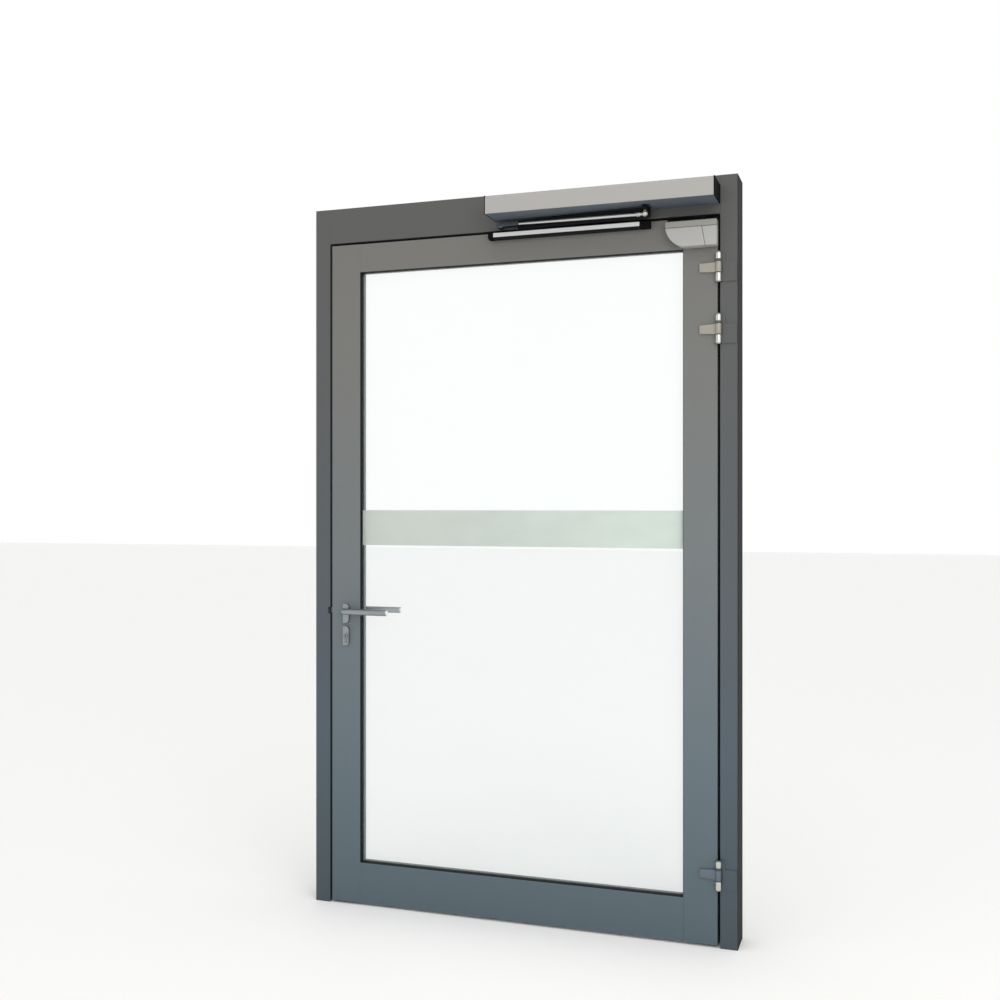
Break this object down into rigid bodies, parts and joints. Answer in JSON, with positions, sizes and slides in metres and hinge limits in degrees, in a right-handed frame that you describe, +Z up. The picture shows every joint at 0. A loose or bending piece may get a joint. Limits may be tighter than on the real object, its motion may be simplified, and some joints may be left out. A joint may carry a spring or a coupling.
{
  "type": "glass door",
  "caption": "Glazed aluminium single door in its frame, with lever lock, three hinges, a swing operator with slide arm and track, and a door-mounted safety sensor.",
  "frame": {"origin": "floor level, middle of the frame's width, in the plane of the front faces of frame and leaf; with equal depths of frame and operator it is also the middle of the part's depth", "axes": "+Z up, +X to the right seen from the operator's side, +Y through the wall away from that side"},
  "size_m": [1.392, 0.22, 2.3],
  "materials": {
    "frame_paint": "matt powder coat, dark grey",
    "leaf_paint": "matt powder coat, mid grey",
    "seal_rubber": "black EPDM",
    "clear_glass": "clear float glass",
    "frosted_film": "etched-effect film",
    "anodised": "satin silver anodised",
    "cast_zinc": "dull die-cast",
    "cast_alloy": "cast",
    "stainless": "brushed",
    "machine_steel": "zinc plated",
    "cover_paint": "satin light grey",
    "black_plastic": "moulded",
    "arm_paint": "black anodised",
    "tray_paint": "dark blue-grey",
    "board": "circuit board",
    "shoe_plastic": "black acetal",
    "sensor_plastic": "moulded ABS, light grey",
    "sensor_window": "infrared window",
    "nickel": "satin nickel"
  },
  "bodies": {
    "frame": {"jamb_hinge_side": "frame_paint", "jamb_lock_side": "frame_paint", "frame_head": "frame_paint", "head_cleats": "anodised", "stop_seals": "seal_rubber", "strike_plate": "frame_paint", "top_hinge_frame_wing": "frame_paint", "upper_hinge_frame_wing": "frame_paint", "bottom_hinge_frame_wing": "frame_paint", "hinge_pins": "stainless", "operator_chassis": "tray_paint", "operator_cover": "cover_paint", "operator_cap_left": "black_plastic", "operator_cap_right": "black_plastic", "operator_gearbox": "cast_alloy", "operator_motor": "machine_steel", "operator_spring": "tray_paint", "operator_power_unit": "black_plastic", "operator_control_board": "board", "operator_screws": "machine_steel"},
    "leaf": {"stile_hinge_side": "leaf_paint", "stile_lock_side": "leaf_paint", "rail_top": "leaf_paint", "rail_bottom": "leaf_paint", "leaf_cleats": "anodised", "glass_pane": "clear_glass", "frosted_band": "frosted_film", "front_gaskets": "seal_rubber", "back_gaskets": "seal_rubber", "glazing_beads": "leaf_paint", "setting_blocks": "seal_rubber", "top_hinge_leaf_wing": "anodised", "upper_hinge_leaf_wing": "anodised", "bottom_hinge_leaf_wing": "anodised", "hinge_bushes": "black_plastic", "slide_track": "arm_paint", "track_strip": "anodised", "track_end_caps": "black_plastic", "sensor_base": "black_plastic", "sensor_cover": "sensor_plastic", "sensor_window": "sensor_window", "handle_roses": "stainless", "escutcheons": "stainless", "lock_case": "machine_steel", "lock_forend": "stainless", "lock_screws": "machine_steel", "cylinder_body": "nickel"},
    "arm": {"arm_spindle": "arm_paint", "arm_hub": "anodised", "arm_bar": "arm_paint", "arm_rod": "anodised", "arm_knuckle": "cast_zinc"},
    "shoe": {"slide_shoe": "shoe_plastic"},
    "lever": {"lever_front": "stainless", "lever_back": "stainless", "lever_spindle": "machine_steel", "lock_follower": "machine_steel"},
    "latch": {"latch_bolt": "machine_steel"},
    "key_plug": {"cylinder_plug": "nickel"},
    "bolt": {"dead_bolt": "machine_steel"}
  },
  "joints": [
    {"name": "leaf_swing", "type": "hinge", "parent": "frame", "child": "leaf", "pos_m": [0.64, -0.009, 0], "axis": [0, 0, 1], "range_deg": [0, 90], "stiffness_Nm_per_rad": 12, "springref_deg": -57.3},
    {"name": "arm_turn", "type": "hinge", "parent": "frame", "child": "arm", "pos_m": [0.429, -0.055, 0], "axis": [0, 0, 1], "range_deg": [0, 122.5]},
    {"name": "shoe_slide", "type": "slide", "parent": "leaf", "child": "shoe", "axis": [1, 0, 0], "range_m": [0, 0.216]},
    {"name": "lever_turn", "type": "hinge", "parent": "leaf", "child": "lever", "pos_m": [-0.583, 0, 0.969], "axis": [0, 1, 0], "range_deg": [0, 40], "stiffness_Nm_per_rad": 1.5, "springref_deg": -40.11},
    {"name": "latch_slide", "type": "slide", "parent": "leaf", "child": "latch", "axis": [1, 0, 0], "range_m": [0, 0.0141]},
    {"name": "key_turn", "type": "hinge", "parent": "leaf", "child": "key_plug", "pos_m": [-0.583, 0, 0.887], "axis": [0, 1, 0], "range_deg": [0, 361]},
    {"name": "bolt_slide", "type": "slide", "parent": "leaf", "child": "bolt", "axis": [-1, 0, 0], "range_m": [0, 0.02]}
  ],
  "couplings": [
    {"joint": "arm_turn", "follows": "leaf_swing", "ratio": 1.359},
    {"joint": "shoe_slide", "follows": "leaf_swing", "m_per_rad": 0.13731},
    {"joint": "latch_slide", "follows": "lever_turn", "m_per_rad": 0.02005},
    {"joint": "key_turn", "follows": "bolt_slide", "rad_per_m": 314.16}
  ]
}
